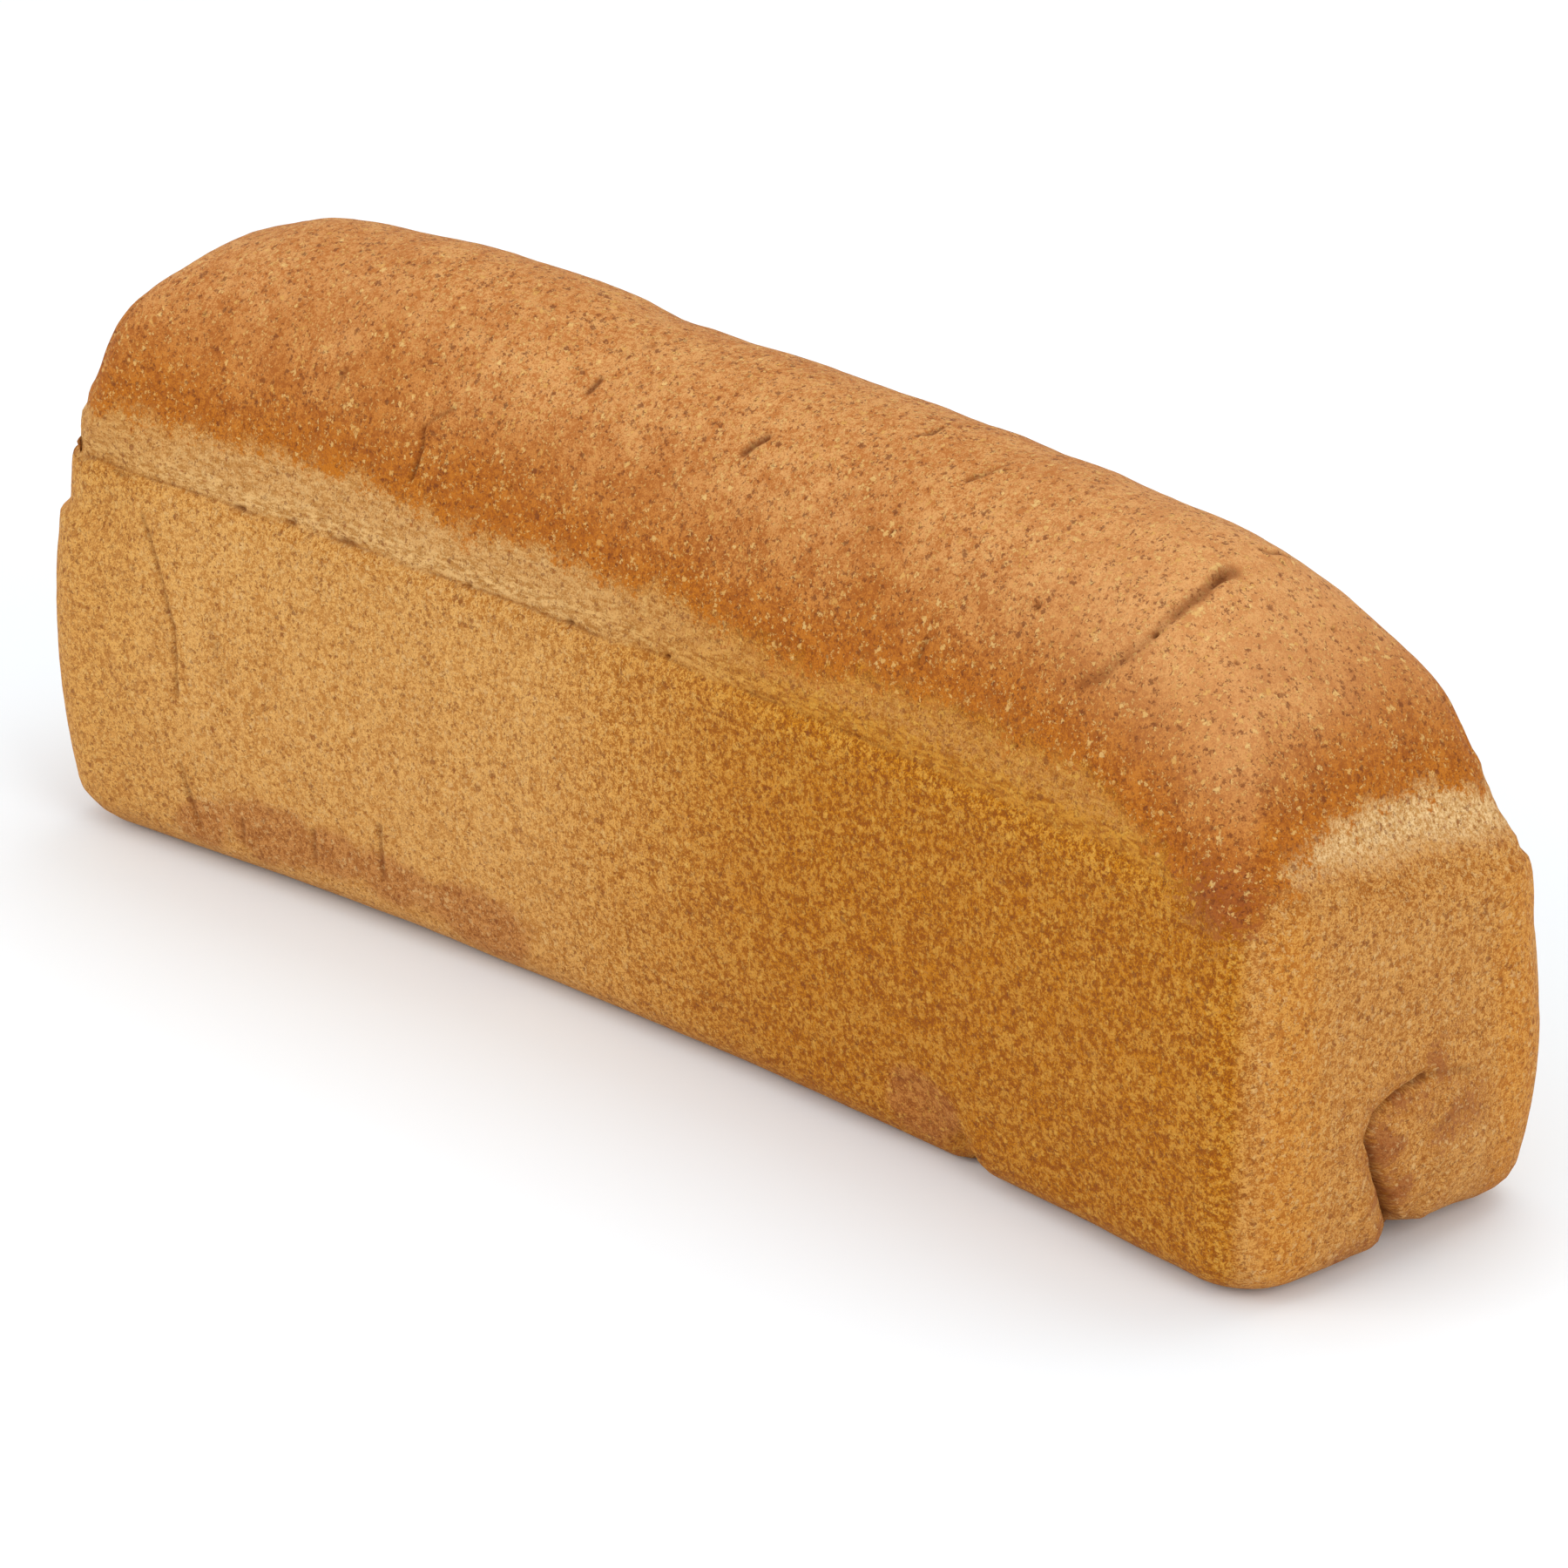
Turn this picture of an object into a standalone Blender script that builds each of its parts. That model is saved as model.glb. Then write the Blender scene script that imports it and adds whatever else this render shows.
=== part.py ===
"""Tin loaf: one long wholemeal loaf, whole and uncut, as it leaves its tin.

Metres, +Z up.  The loaf lies along X, the end with the folded dough seam at +X.
The straight walls were shaped by the tin, the crown rose above its rim.
The loaf bows a little towards +Y in the middle.
"""
import bpy
import bmesh
import math

for ob in list(bpy.data.objects):
    bpy.data.objects.remove(ob, do_unlink=True)

# ---------------------------------------------------------------- sizes (m)
LENGTH = 0.3967           # along the loaf, at the foot of the walls
WIDTH = 0.0885            # across, at the foot of the walls
RIM = 0.0962              # height of the tin's rim line, where the walls end, mid length
RIM_FALL = 0.0059         # the rim line is this much lower at +X than in the middle
RIM_TIP = 0.0053          # and at +X it also drops by this towards +Y
CORNER_R = 0.0150         # upright corners, from the tin
BASE_R = 0.0111           # rounded bottom edge
FOOT_SPREAD = 0.0013      # the walls stand this much wider at the foot, each side
RIM_SPREAD = 0.0008       # and this much wider at the rim
BELLY = 0.0045            # and swell by this at mid height
SHOULDER = 0.056          # above the rim the crown is narrower by this share
SHOULDER_RISE = 0.37      # share of the crown's height over which it draws in
END_SETBACK = 0.0089      # and it stands back by this from each end wall
ROLL_FAR = 0.0685         # length over which the crown rolls off at -X
ROLL_NEAR = 0.0636        # the same at +X
BOW = 0.0122              # sideways bow of the middle
# crown height above the rim at named stations along the loaf
CROWN = {-1.0: 0.0757, -0.8: 0.0625, -0.45: 0.0636, 0.0: 0.0620, 0.45: 0.0626, 0.8: 0.0602, 1.0: 0.0535}
SECTION_UP = 2.134        # superellipse powers of the crown's cross-section
SECTION_OUT = 1.841
ROLL_UP = 2.329           # and of its roll-off at the ends
ROLL_OUT = 1.961
BLEND = 3.9               # how sharply section and roll-off meet
# dips between the soft humps of the crown: station, depth, half-width
DIPS = [(-0.105, 0.0008, 0.05), (0.40, 0.0008, 0.05)]
# folded seam in the end wall at +X: (across, up) of its path, and its radius
SEAM_PATH = [(-0.0018, -0.004), (-0.0024, 0.0045), (-0.0052, 0.0160), (-0.0102, 0.0270), (-0.0132, 0.0350), (-0.0108, 0.0402), (-0.0040, 0.0424), (0.0076, 0.0431)]
SEAM_R = 0.0024
SEAM_R_END = 0.0006

ALONG = 56                # loop cuts along, across and up
ACROSS = 14
UP = 12
STRAIGHT = 0.72           # share of the lengthwise cuts in the straight part


def smooth(t):
    t = min(max(t, 0.0), 1.0)
    return t * t * (3 - 2 * t)


def crown_height(s):
    """Crown height at s = -1..1 along the loaf, by a smooth curve through CROWN."""
    xs = sorted(CROWN)
    hs = [CROWN[x] for x in xs]
    slope = []
    for i in range(len(xs)):
        if i == 0:
            slope.append((hs[1] - hs[0]) / (xs[1] - xs[0]))
        elif i == len(xs) - 1:
            slope.append((hs[-1] - hs[-2]) / (xs[-1] - xs[-2]))
        else:
            a, b = xs[i] - xs[i - 1], xs[i + 1] - xs[i]
            slope.append((b * (hs[i] - hs[i - 1]) / a + a * (hs[i + 1] - hs[i]) / b) / (a + b))
    s = min(max(s, -1.0), 1.0)
    i = 0
    while i < len(xs) - 2 and s > xs[i + 1]:
        i += 1
    h = xs[i + 1] - xs[i]
    t = (s - xs[i]) / h
    z = (hs[i] * (2 * t ** 3 - 3 * t ** 2 + 1) + hs[i + 1] * (3 * t ** 2 - 2 * t ** 3)
         + slope[i] * h * (t ** 3 - 2 * t ** 2 + t) + slope[i + 1] * h * (t ** 3 - t ** 2))
    for at, deep, half in DIPS:
        z -= deep * math.exp(-((s - at) / half) ** 2)
    return z


def rim_height(s, t):
    """Height of the rim line at s = -1..1 along and t = -1..1 across."""
    return RIM - RIM_FALL * s - RIM_TIP * t * smooth((s + 1) / 2)


def along(u):
    """u = -1..1 to a place along the loaf, with the roll-off as an angle."""
    roll = ROLL_FAR if u < 0 else ROLL_NEAR
    a = abs(u)
    straight = LENGTH / 2 - roll
    if a < STRAIGHT:
        return math.copysign(a / STRAIGHT * straight, u), 1.0
    psi = min((a - STRAIGHT) / (1 - STRAIGHT), 1.0) * math.pi / 2
    x = straight + roll * math.sin(psi) ** (2 / ROLL_OUT)
    return math.copysign(x, u), max(math.cos(psi), 0.0) ** (2 / ROLL_UP)


def across(v):
    phi = abs(v) * math.pi / 2
    y = WIDTH / 2 * math.sin(phi) ** (2 / SECTION_OUT)
    return math.copysign(y, v), max(math.cos(phi), 0.0) ** (2 / SECTION_UP)


def round_corner(x, y):
    """Turn the corners of the plan rectangle into arcs of CORNER_R."""
    p = (abs(x) - (LENGTH / 2 - CORNER_R)) / CORNER_R
    q = (abs(y) - (WIDTH / 2 - CORNER_R)) / CORNER_R
    if p <= 0 or q <= 0:
        return x, y
    k = max(p, q) / math.hypot(p, q)
    return (math.copysign(LENGTH / 2 - CORNER_R + CORNER_R * p * k, x),
            math.copysign(WIDTH / 2 - CORNER_R + CORNER_R * q * k, y))


def crown_point(u, v):
    x, rx = along(u)
    y, ry = across(v)
    rx, ry = max(rx, 1e-4), max(ry, 1e-4)
    rise = (rx ** -BLEND + ry ** -BLEND - 1) ** (-1 / BLEND)
    t = min(rise / SHOULDER_RISE, 1.0)
    draw_in = t * (2 - t)
    x, y = round_corner(x, y)
    roll = ROLL_FAR if x < 0 else ROLL_NEAR
    near = smooth((abs(x) - (LENGTH / 2 - roll)) / (0.6 * roll))
    x -= math.copysign(near * (END_SETBACK * draw_in - RIM_SPREAD * abs(x) / (LENGTH / 2)), x)
    y *= (1 - SHOULDER * draw_in) * (1 + RIM_SPREAD / (WIDTH / 2))
    s = min(max(x / (LENGTH / 2), -1.0), 1.0)
    tip = RIM_TIP * 2 * y / WIDTH * smooth((s + 1) / 2)
    return x, y, RIM - RIM_FALL * s - tip * (1 - 0.6 * rise) + crown_height(s) * rise


def wall_point(u, v, w):
    x, _ = along(u)
    y, _ = across(v)
    z = w * rim_height(x / (LENGTH / 2), 2 * y / WIDTH)
    low = min(max((BASE_R - z) / BASE_R, 0.0), 1.0)
    inset = (BASE_R * (1 - math.sqrt(max(1 - low * low, 0.0))) - FOOT_SPREAD * (1 - w)
             - RIM_SPREAD * smooth((w - 0.55) / 0.45) - BELLY * math.sin(math.pi * w))
    x, y = round_corner(x, y)
    return x * (1 - inset / (LENGTH / 2)), y * (1 - inset / (WIDTH / 2)), z


def bow(x, y, z):
    """Bend the loaf so that its middle stands BOW towards +Y."""
    k = 2 * x / LENGTH
    turn = math.atan(-4 * BOW * k / LENGTH)
    return x - y * math.sin(turn), BOW * (1 - k * k) + y * math.cos(turn), z


def even_cuts(n):
    return [-1 + 2 * i / n for i in range(1, n)]


def shape(u, v, w):
    if w > 0.999:
        return bow(*crown_point(u, v))
    return bow(*wall_point(u, v, w))


def cut_cube(bm, cuts, axis):
    for c in cuts:
        co = [0.0, 0.0, 0.0]
        no = [0.0, 0.0, 0.0]
        co[axis], no[axis] = c, 1.0
        bmesh.ops.bisect_plane(bm, geom=bm.verts[:] + bm.edges[:] + bm.faces[:], plane_co=co, plane_no=no, dist=1e-6)


def new_object(name, bm, collection):
    mesh = bpy.data.meshes.new(name)
    bm.to_mesh(mesh)
    bm.free()
    ob = bpy.data.objects.new(name, mesh)
    collection.objects.link(ob)
    return ob


def crust_material():
    mat = bpy.data.materials.new("crust")
    mat.use_nodes = True
    bsdf = mat.node_tree.nodes["Principled BSDF"]
    bsdf.inputs["Base Color"].default_value = (0.56, 0.27, 0.09, 1.0)
    bsdf.inputs["Roughness"].default_value = 0.8
    bsdf.inputs["Metallic"].default_value = 0.0
    return mat


def build_loaf(collection):
    bm = bmesh.new()
    bmesh.ops.create_cube(bm, size=2.0)
    cut_cube(bm, even_cuts(ALONG), 0)
    cut_cube(bm, even_cuts(ACROSS), 1)
    # closer loop cuts in the rounded foot of the wall
    foot = BASE_R / RIM
    ups = [foot * (1 - math.cos(math.pi / 2 * i / 4)) for i in range(1, 5)]
    rest = UP - 5
    ups += [foot + (1 - foot) * i / rest for i in range(1, rest)]
    cut_cube(bm, [2 * w - 1 for w in ups], 2)
    for v in bm.verts:
        v.co = shape(v.co.x, v.co.y, (v.co.z + 1) / 2)
    bmesh.ops.recalc_face_normals(bm, faces=bm.faces[:])
    # plan centre of the bounding box to the origin
    mx = (min(v.co.x for v in bm.verts) + max(v.co.x for v in bm.verts)) / 2
    my = (min(v.co.y for v in bm.verts) + max(v.co.y for v in bm.verts)) / 2
    for v in bm.verts:
        v.co.x -= mx
        v.co.y -= my
    ob = new_object("loaf", bm, collection)
    ob.data.materials.append(crust_material())
    return ob, mx, my


def seam_place(t):
    """Point of the seam at t = 0..1 by Catmull-Rom through SEAM_PATH."""
    n = len(SEAM_PATH) - 1
    i = min(int(t * n), n - 1)
    f = t * n - i
    p = [SEAM_PATH[min(max(j, 0), n)] for j in (i - 1, i, i + 1, i + 2)]
    out = []
    for c in (0, 1):
        a, b, d, e = (q[c] for q in p)
        out.append(0.5 * (2 * b + (d - a) * f + (2 * a - 5 * b + 4 * d - e) * f * f + (3 * b - a - 3 * d + e) * f ** 3))
    return out


def build_seam_cutter(collection, mx, my):
    """A tapering rod laid in the end wall: what it removes is the fold's groove."""
    rings = 22
    bm = bmesh.new()
    bmesh.ops.create_cone(bm, cap_ends=True, cap_tris=False, segments=10, radius1=1.0, radius2=1.0, depth=2.0)
    cut_cube(bm, even_cuts(rings), 2)
    for v in bm.verts:
        t = (v.co.z + 1) / 2
        y, z = seam_place(t)
        y2, z2 = seam_place(min(t + 0.01, 1.0))
        y1, z1 = seam_place(max(t - 0.01, 0.0))
        dy, dz = y2 - y1, z2 - z1
        d = math.hypot(dy, dz)
        r = SEAM_R + (SEAM_R_END - SEAM_R) * t
        off = v.co.x * r              # sideways in the wall
        deep = v.co.y * r * 1.5       # into the wall
        # the wall's place here, from the same formula as the loaf
        side = math.copysign(min(abs(2 * y / WIDTH), 1.0), y)
        w = min(max(z, 0.0) / rim_height(1.0, side), 1.0)
        vv = math.copysign(2 / math.pi * math.asin(abs(side) ** (SECTION_OUT / 2)), side)
        x = wall_point(1.0, vv, max(w, 0.004))[0]
        yy = y - off * dz / d
        zz = z + off * dy / d
        bx, by, bz = bow(x + deep, yy, zz)
        v.co = (bx - mx, by - my, bz)
    bmesh.ops.recalc_face_normals(bm, faces=bm.faces[:])
    ob = new_object("seam_cutter", bm, collection)
    ob.hide_render = True
    ob.display_type = 'WIRE'
    return ob


def main():
    parts = bpy.data.collections.new("tin_loaf")
    cutters = bpy.data.collections.new("cutters")
    bpy.context.scene.collection.children.link(parts)
    bpy.context.scene.collection.children.link(cutters)
    loaf, mx, my = build_loaf(parts)
    cutter = build_seam_cutter(cutters, mx, my)
    mod = loaf.modifiers.new("fold_seam", 'BOOLEAN')
    mod.operation = 'DIFFERENCE'
    mod.solver = 'EXACT'
    mod.object = cutter
    loaf.data.shade_smooth()


main()
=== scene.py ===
import math

import bmesh
import bpy
import numpy as np
from mathutils import Matrix, Vector, noise


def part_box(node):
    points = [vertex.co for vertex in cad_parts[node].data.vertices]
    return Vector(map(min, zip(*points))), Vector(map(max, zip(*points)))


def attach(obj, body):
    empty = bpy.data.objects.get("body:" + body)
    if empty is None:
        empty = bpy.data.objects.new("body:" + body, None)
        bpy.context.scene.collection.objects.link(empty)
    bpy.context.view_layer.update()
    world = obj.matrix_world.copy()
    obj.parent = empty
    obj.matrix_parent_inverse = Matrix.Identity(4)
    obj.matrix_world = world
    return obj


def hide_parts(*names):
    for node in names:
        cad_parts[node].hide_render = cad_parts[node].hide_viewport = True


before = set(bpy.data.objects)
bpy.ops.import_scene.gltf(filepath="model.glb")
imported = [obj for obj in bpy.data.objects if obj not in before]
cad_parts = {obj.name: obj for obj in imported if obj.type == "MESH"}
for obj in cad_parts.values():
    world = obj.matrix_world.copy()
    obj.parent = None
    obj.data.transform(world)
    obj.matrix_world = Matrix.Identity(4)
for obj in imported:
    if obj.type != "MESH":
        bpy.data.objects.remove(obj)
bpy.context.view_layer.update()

LOAF_LO, LOAF_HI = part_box("loaf")

# ------------------------------------------------------------ the loaf's sizes (m)
LENGTH, WIDTH = 0.3967, 0.0885
RIM, RIM_FALL, RIM_TIP = 0.0962, 0.0059, 0.0053
CORNER_R, BASE_R = 0.0150, 0.0111
FOOT_SPREAD, RIM_SPREAD, BELLY = 0.0013, 0.0008, 0.0045
SHOULDER, SHOULDER_RISE, END_SETBACK = 0.056, 0.37, 0.0089
ROLL_FAR, ROLL_NEAR, BOW = 0.0685, 0.0636, 0.0122
CROWN_X = np.array([-1.0, -0.8, -0.45, 0.0, 0.45, 0.8, 1.0])
CROWN_H = np.array([0.0757, 0.0625, 0.0636, 0.0620, 0.0626, 0.0602, 0.0535])
SECTION_UP, SECTION_OUT, ROLL_UP, ROLL_OUT, BLEND = 2.134, 1.841, 2.329, 1.961, 3.9
DIPS = [(-0.105, 0.0008, 0.05), (0.40, 0.0008, 0.05)]
HALF_L, HALF_W = LENGTH / 2, WIDTH / 2

# the fine mesh: cells along (straight part, each roll-off), across, up
N_STRAIGHT, N_ROLL, N_ACROSS, N_FOOT, N_WALL = 158, 58, 92, 6, 50
STRAIGHT = 0.72


def smooth(t):
    t = np.clip(t, 0.0, 1.0)
    return t * t * (3 - 2 * t)


def bump(t):
    """1 at t = 0, falling to 0 at |t| = 1."""
    return 1 - smooth(np.abs(t))


def crown_height(s):
    xs, hs = CROWN_X, CROWN_H
    slope = np.empty(len(xs))
    slope[0] = (hs[1] - hs[0]) / (xs[1] - xs[0])
    slope[-1] = (hs[-1] - hs[-2]) / (xs[-1] - xs[-2])
    a, b = xs[1:-1] - xs[:-2], xs[2:] - xs[1:-1]
    slope[1:-1] = (b * (hs[1:-1] - hs[:-2]) / a + a * (hs[2:] - hs[1:-1]) / b) / (a + b)
    s = np.clip(s, -1, 1)
    i = np.clip(np.searchsorted(xs, s, side="right") - 1, 0, len(xs) - 2)
    h = xs[i + 1] - xs[i]
    t = (s - xs[i]) / h
    z = (hs[i] * (2 * t ** 3 - 3 * t ** 2 + 1) + hs[i + 1] * (3 * t ** 2 - 2 * t ** 3)
         + slope[i] * h * (t ** 3 - 2 * t ** 2 + t) + slope[i + 1] * h * (t ** 3 - t ** 2))
    for at, deep, half in DIPS:
        z = z - deep * np.exp(-((s - at) / half) ** 2)
    return z


def along(u):
    roll = np.where(u < 0, ROLL_FAR, ROLL_NEAR)
    a = np.abs(u)
    straight = HALF_L - roll
    psi = np.clip((a - STRAIGHT) / (1 - STRAIGHT), 0, 1) * math.pi / 2
    x = np.where(a < STRAIGHT, a / STRAIGHT * straight, straight + roll * np.sin(psi) ** (2 / ROLL_OUT))
    return np.copysign(x, u), np.maximum(np.cos(psi), 0) ** (2 / ROLL_UP)


def across(v):
    phi = np.abs(v) * math.pi / 2
    return np.copysign(HALF_W * np.sin(phi) ** (2 / SECTION_OUT), v), np.maximum(np.cos(phi), 0) ** (2 / SECTION_UP)


def round_corner(x, y):
    p = (np.abs(x) - (HALF_L - CORNER_R)) / CORNER_R
    q = (np.abs(y) - (HALF_W - CORNER_R)) / CORNER_R
    both = (p > 0) & (q > 0)
    p, q = np.where(both, p, 1.0), np.where(both, q, 1.0)
    k = np.maximum(p, q) / np.hypot(p, q)
    return (np.where(both, np.copysign(HALF_L - CORNER_R + CORNER_R * p * k, x), x),
            np.where(both, np.copysign(HALF_W - CORNER_R + CORNER_R * q * k, y), y))


def crown_points(u, v):
    x, rx = along(u)
    y, ry = across(v)
    rx, ry = np.maximum(rx, 1e-4), np.maximum(ry, 1e-4)
    rise = (rx ** -BLEND + ry ** -BLEND - 1) ** (-1 / BLEND)
    t = np.minimum(rise / SHOULDER_RISE, 1)
    draw_in = t * (2 - t)
    x, y = round_corner(x, y)
    roll = np.where(x < 0, ROLL_FAR, ROLL_NEAR)
    near = smooth((np.abs(x) - (HALF_L - roll)) / (0.6 * roll))
    x = x - np.copysign(near * (END_SETBACK * draw_in - RIM_SPREAD * np.abs(x) / HALF_L), x)
    y = y * (1 - SHOULDER * draw_in) * (1 + RIM_SPREAD / HALF_W)
    s = np.clip(x / HALF_L, -1, 1)
    tip = RIM_TIP * y / HALF_W * smooth((s + 1) / 2)
    return np.stack([x, y, RIM - RIM_FALL * s - tip * (1 - 0.6 * rise) + crown_height(s) * rise], -1)


def rim_height(s, t):
    return RIM - RIM_FALL * s - RIM_TIP * t * smooth((s + 1) / 2)


def wall_points(u, v, w):
    x, _ = along(u)
    y, _ = across(v)
    z = w * rim_height(x / HALF_L, y / HALF_W)
    low = np.clip((BASE_R - z) / BASE_R, 0, 1)
    inset = (BASE_R * (1 - np.sqrt(np.maximum(1 - low * low, 0))) - FOOT_SPREAD * (1 - w)
             - RIM_SPREAD * smooth((w - 0.55) / 0.45) - BELLY * np.sin(math.pi * w))
    x, y = round_corner(x, y)
    return np.stack([x * (1 - inset / HALF_L), y * (1 - inset / HALF_W), z], -1)


def bow(p):
    x, y, z = p[..., 0], p[..., 1], p[..., 2]
    k = 2 * x / LENGTH
    turn = np.arctan(-4 * BOW * k / LENGTH)
    return np.stack([x - y * np.sin(turn), BOW * (1 - k * k) + y * np.cos(turn), z], -1)


# ------------------------------------------------------------ marks on this loaf (m, before the bow)
# each crease: path, half-width, depth, strength of the painted shade in it
CREASES = [
    ([(-.0769, -.0365, .1320), (-.0759, -.0382, .1275), (-.0769, -.0396, .1232), (-.0777, -.0404, .1201)], .0006, .0009, .85),
    ([(-.0769, -.0365, .1320), (-.0744, -.0353, .1347), (-.0700, -.0337, .1375)], .0006, .0005, .6),
    ([(-.1058, -.0331, .1390), (-.1066, -.0354, .1346)], .0006, .0004, .6),
    ([(-.0341, -.0216, .1510), (-.0352, -.0246, .1484)], .0007, .0008, 1.0),
    ([(.0202, -.0213, .1494), (.0181, -.0232, .1478), (.0164, -.0254, .1459)], .0010, .0011, 1.0),
    ([(.0560, -.0082, .1559), (.0579, -.0064, .1563), (.0582, -.0032, .1568)], .0007, .0008, .9),
    ([(.0769, -.0147, .1528), (.0793, -.0117, .1541), (.0812, -.0079, .1554), (.0817, -.0058, .1558)], .0007, .0009, .9),
    ([(.0881, -.0381, .1245), (.0873, -.0392, .1213), (.0862, -.0401, .1180)], .0006, .0006, .6),
    ([(.1470, .0058, .1505), (.1483, .0076, .1495), (.1490, .0112, .1479)], .0008, .0010, .8),
    ([(-.0295, -.0103, .1575), (-.0274, -.0088, .1579)], .0007, .0004, .5),
    ([(-.0189, -.0035, .1587), (-.0169, -.0013, .1588)], .0006, .0004, .6),
    # the wandering groove near the +X end of the crown
    ([(.1500, -.0061, .1497), (.1496, -.0097, .1492), (.1503, -.0144, .1474), (.1496, -.0188, .1456), (.1486, -.0222, .1437)], .0014, .0011, .75),
    ([(.1486, -.0222, .1437), (.1483, -.0248, .1417), (.1473, -.0269, .1400), (.1445, -.0310, .1357), (.1391, -.0351, .1297), (.1347, -.0365, .1270)], .0016, .0009, .45),
    ([(.1493, -.0085, .1495), (.1500, -.0115, .1487)], .0010, .0012, 1.0),
    # upright creases in the long wall
    ([(-.1643, -.0463, .0917), (-.1600, -.0474, .0829), (-.1568, -.0480, .0759), (-.1548, -.0485, .0696), (-.1528, -.0488, .0645), (-.1522, -.0492, .0565), (-.1523, -.0494, .0472)], .0007, .0007, .55),
    ([(-.1406, -.0485, .0696), (-.1385, -.0488, .0646), (-.1373, -.0491, .0590), (-.1365, -.0493, .0535)], .0006, .0004, .35),
    ([(-.1529, -.0486, .0279), (-.1516, -.0481, .0221), (-.1500, -.0475, .0164), (-.1482, -.0470, .0118)], .0009, .0006, .5),
    ([(-.0837, -.0488, .0305), (-.0840, -.0481, .0219), (-.0843, -.0475, .0157)], .0008, .0006, .6),
    ([(-.1074, -.0481, .0222), (-.1081, -.0474, .0148)], .0007, .0005, .6),
    ([(-.1326, -.0478, .0187), (-.1332, -.0469, .0110)], .0007, .0005, .6),
    # the rim line running up and round the far corner
    ([(-.1760, -.0452, .1003), (-.1735, -.0453, .0997), (-.1702, -.0452, .1001)], .0007, .0006, .6),
    # faint rays of the fold on the end wall
    ([(.2030, .0040, .0452), (.2033, .0120, .0440), (.2030, .0180, .0425)], .0009, .0005, .45),
    ([(.2030, .0060, .0330), (.2030, .0160, .0345)], .0010, .0004, .3),
    ([(.2035, -.0250, .0560), (.2035, -.0310, .0480)], .0010, .0003, .2),
]
# pits: place, radius, depth, strength of the painted shade in them
PITS = [
    ((.1470, -.0269, .1401), .0016, .0024, 1.0), ((.1146, -.0305, .1379), .0015, .0014, .75), ((.1658, -.0202, .1373), .0008, .0010, 1.0),
    ((.1205, -.0421, .1099), .0009, .0010, .9), ((.1288, -.0318, .1355), .0009, .0006, .7), ((.0614, -.0293, .1408), .0010, .0010, .9),
    ((.0317, -.0422, .1108), .0012, .0010, .7), ((.0253, -.0431, .1072), .0008, .0009, .9), ((-.0465, -.0386, .1254), .0009, .0008, .8),
    ((-.0439, -.0325, .1387), .0008, .0006, .7), ((-.0251, -.0354, .1327), .0008, .0006, .7), ((.1666, .0082, .1375), .0009, .0008, .9),
    ((.1500, -.0168, .1465), .0007, .0006, .7), ((.0670, -.0289, .1413), .0008, .0006, .8), ((.0764, -.0284, .1417), .0008, .0006, .8),
]
# where the tin's rim left short open slots: place along the long wall, half-length
SLOTS = [(-.1328, .0026), (-.1156, .0030), (-.0970, .0050), (-.0224, .0022), (-.0560, .0016), (.0100, .0014)]
# folded seam in the +X end wall: (across, up)
SEAM = [(.0028, -.004), (.0014, .0045), (-.0038, .0145), (-.0092, .0265), (-.0122, .0345), (-.0104, .0400), (-.0040, .0430), (.0050, .0440)]
# height of the brown crust's ragged lower edge above the rim: along the front, and across the +X end
EDGE_FRONT = [(-.200, .0130), (-.180, .0135), (-.142, .0147), (-.098, .0168), (-.068, .0135), (-.025, .0132), (.023, .0132), (.047, .0105), (.063, .0128),
              (.100, .0150), (.129, .0145), (.146, .0120), (.158, .0095), (.170, .0050), (.187, -.0030), (.200, -.0075)]
EDGE_NEAR = [(-.045, -.0060), (-.040, -.0005), (-.0316, .0065), (-.0223, .0095), (-.0103, .0130), (.0038, .0155), (.0179, .0175), (.0338, .0135), (.045, .0110)]


def gap_to_path(q, path):
    """Distance of every point to a polyline."""
    best = np.full(len(q), 1e9)
    for a, b in zip(path[:-1], path[1:]):
        a, b = np.array(a), np.array(b)
        ab = b - a
        t = np.clip(((q - a) @ ab) / (ab @ ab), 0, 1)
        best = np.minimum(best, np.linalg.norm(q - (a + t[:, None] * ab), axis=1))
    return best


def field(q, size, seed=0.0, stretch=(1, 1, 1), octaves=1):
    """Smooth noise, about -1..1, with features of the given size."""
    k = np.array(stretch, float) / size
    pts = q * k + np.array([seed * 7.31 + 3.1, seed * 3.77 - 5.2, seed * 5.13 + 1.7])
    if octaves == 1:
        return np.array([noise.noise(Vector(p)) for p in pts.tolist()])
    return np.array([noise.fractal(Vector(p), 0.8, 2.1, octaves) for p in pts.tolist()])


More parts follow.
